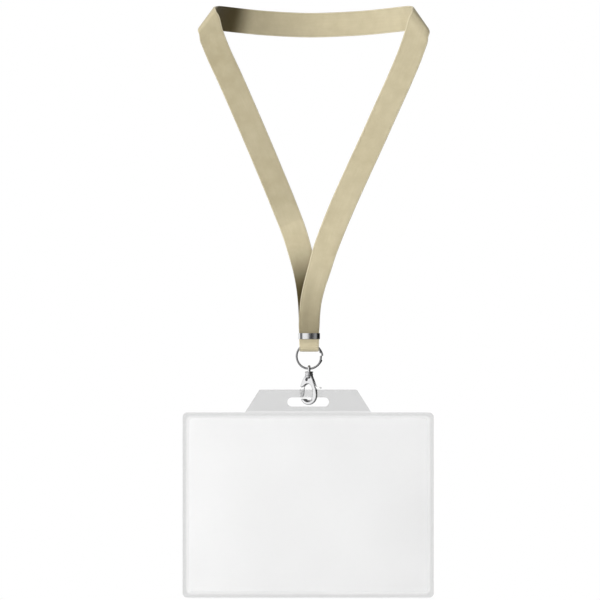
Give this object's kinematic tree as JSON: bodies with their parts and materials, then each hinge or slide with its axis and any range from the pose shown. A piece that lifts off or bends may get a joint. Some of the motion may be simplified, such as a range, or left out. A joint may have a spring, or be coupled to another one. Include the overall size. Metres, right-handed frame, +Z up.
{
  "type": "lanyard badge holder",
  "caption": "Flat woven ribbon loop with a crimp, split ring and swivel snap hook carrying a clear side-loading badge pouch with a blank insert.",
  "frame": {"origin": "middle of the neck band, where the loop is held up, straight above the crimp", "axes": "+Z up, -Y the side that shows the badge, +X to the right as seen from the front"},
  "size_m": [0.16, 0.0512, 0.3789],
  "materials": {
    "ribbon": "woven satin",
    "crimp": "polished",
    "ring": "polished",
    "hook": "polished",
    "gate": "satin",
    "rivet": "satin",
    "spring": "satin",
    "film": "clear gloss",
    "card": "matte paper"
  },
  "bodies": {
    "strap": {"ribbon": "ribbon", "crimp": "crimp"},
    "ring": {"split_ring": "ring"},
    "eye": {"swivel_eye": "hook"},
    "hook": {"hook_body": "hook", "gate_rivet": "rivet", "gate_spring": "spring"},
    "gate": {"gate_lever": "gate"},
    "pouch": {"front_film": "film", "back_film": "film"},
    "insert": {"insert_card": "card"}
  },
  "joints": [
    {"name": "ring_swing", "type": "hinge", "parent": "strap", "child": "ring", "pos_m": [0, -0.045, -0.211], "axis": [1, 0, 0], "range_deg": [-20, 20]},
    {"name": "eye_slide", "type": "hinge", "parent": "ring", "child": "eye", "pos_m": [0, -0.045, -0.21501], "axis": [0, 1, 0], "range_deg": [-30, 30]},
    {"name": "hook_swivel", "type": "hinge", "parent": "eye", "child": "hook", "pos_m": [0, -0.045, -0.22551], "axis": [0, 0, 1], "continuous": true},
    {"name": "gate_open", "type": "hinge", "parent": "hook", "child": "gate", "pos_m": [-0.0009, -0.04437, -0.22991], "axis": [-0.5736, -0.8192, 0], "range_deg": [0, 10], "stiffness_Nm_per_rad": 0.03, "springref_deg": -17.19, "deforming": ["gate_spring"]},
    {"name": "pouch_rock", "type": "hinge", "parent": "hook", "child": "pouch", "pos_m": [0.00085, -0.045, -0.24126], "axis": [0, 1, 0], "range_deg": [-20, 20]},
    {"name": "insert_slide", "type": "slide", "parent": "pouch", "child": "insert", "axis": [1, 0, 0], "range_m": [0, 0.154]}
  ]
}
